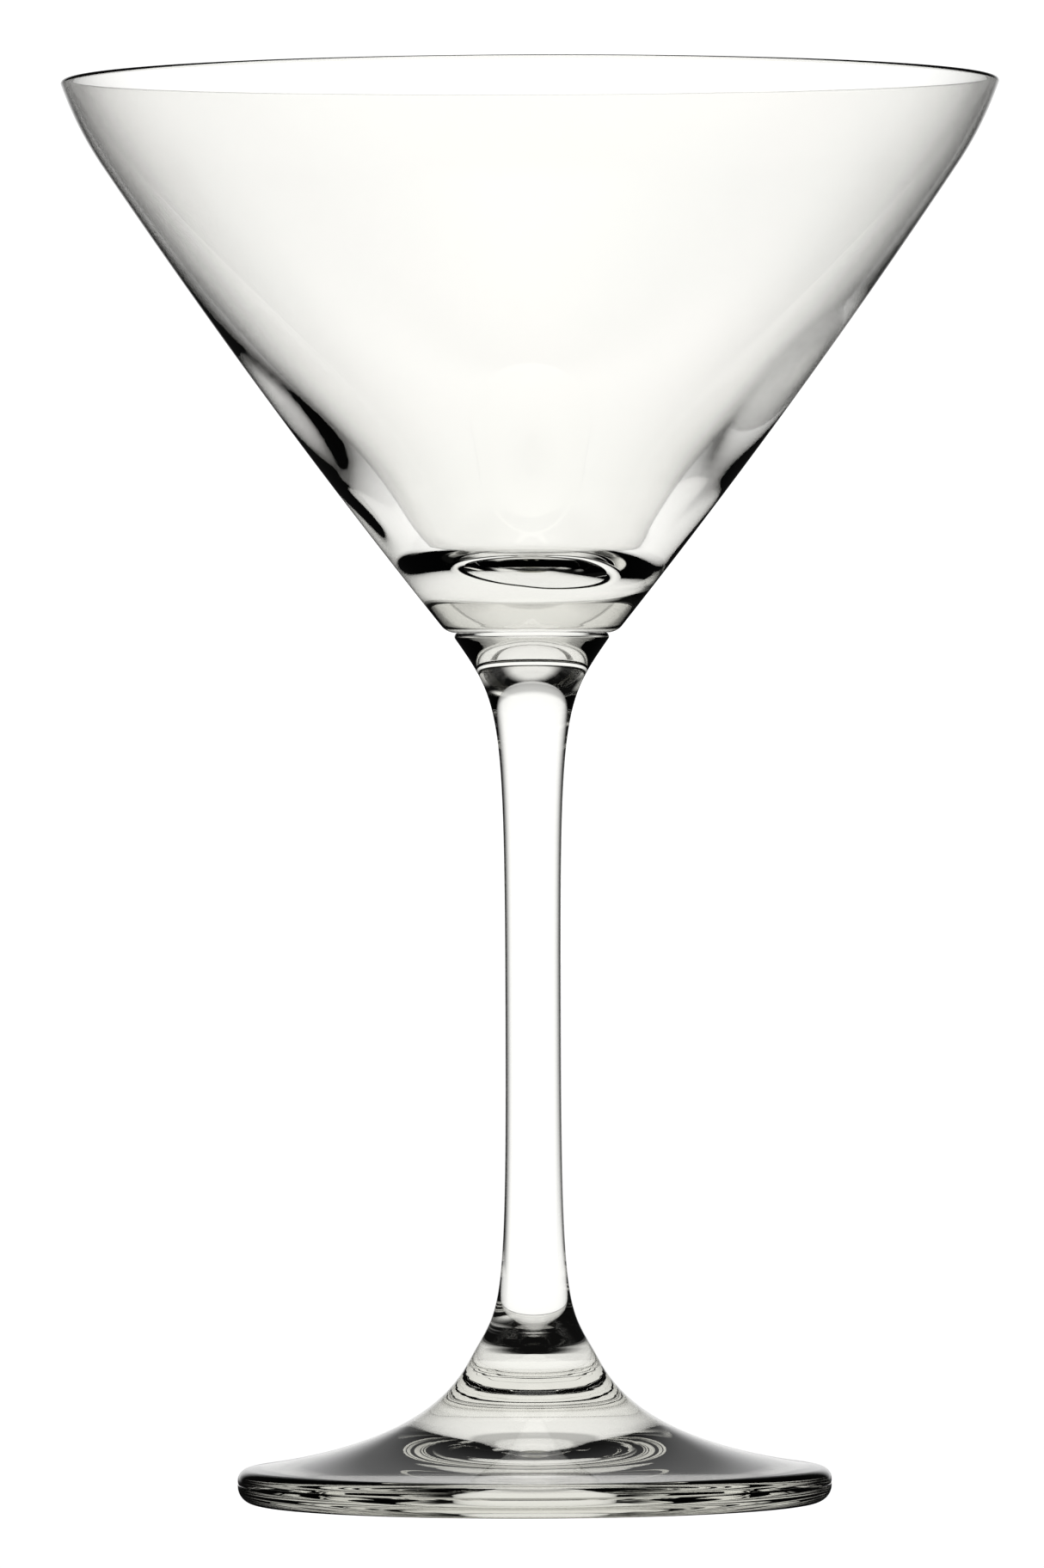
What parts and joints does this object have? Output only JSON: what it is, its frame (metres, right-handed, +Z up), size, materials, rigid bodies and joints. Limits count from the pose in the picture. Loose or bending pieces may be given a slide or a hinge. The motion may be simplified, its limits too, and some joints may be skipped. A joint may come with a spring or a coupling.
{
  "type": "martini glass",
  "caption": "Stemmed cocktail glass: a wide conical bowl with a thick solid base, a slim drawn stem that flares at both ends, and a round foot.",
  "frame": {"origin": "centre of the plane that the foot stands on", "axes": "+Z up the glass's axis of revolution, from the foot to the rim; +X and +Y are alike, since the glass is round"},
  "size_m": [0.115, 0.115, 0.1744],
  "materials": {
    "bowl_glass": "clear, fire-polished, thin wall",
    "stem_glass": "clear, fire-polished, solid",
    "foot_glass": "clear, fire-polished, solid, with faint spin rings at the neck"
  },
  "bodies": {
    "root": {"foot": "foot_glass", "stem": "stem_glass", "bowl": "bowl_glass"}
  },
  "joints": []
}
